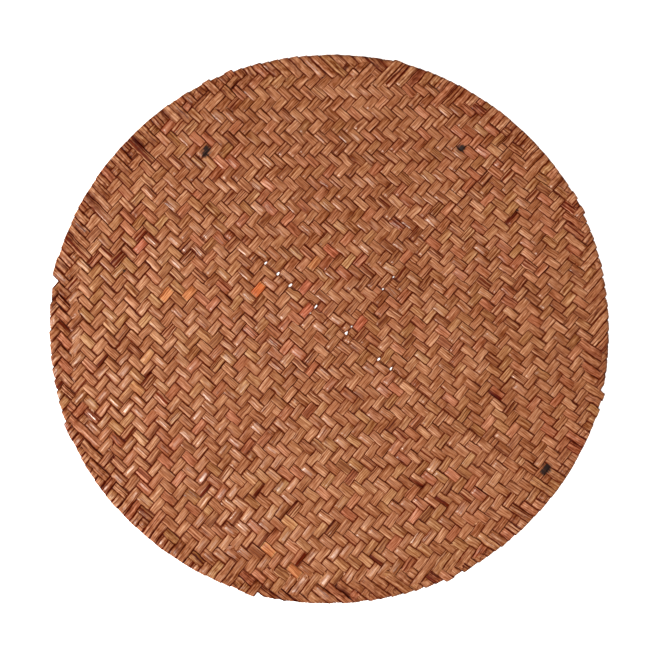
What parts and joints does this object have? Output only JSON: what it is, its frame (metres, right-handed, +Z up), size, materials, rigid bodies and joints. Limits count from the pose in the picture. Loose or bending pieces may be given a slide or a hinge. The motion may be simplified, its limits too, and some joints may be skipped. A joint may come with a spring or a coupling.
{
  "type": "placemat",
  "caption": "Round flat placemat plaited from narrow leaf strips in a twill of squares, with the strip ends folded back into a thicker rim.",
  "frame": {"origin": "centre of the flat underside, on the surface that the mat lies on", "axes": "+Z up out of the mat's face, +Y towards the top edge of the mat as it is seen, +X to the right"},
  "size_m": [0.3813, 0.374, 0.0029],
  "materials": {
    "dried_leaf_strip": "satin, reddish brown dried leaf"
  },
  "bodies": {
    "root": {"woven_mat": "dried_leaf_strip"}
  },
  "joints": []
}
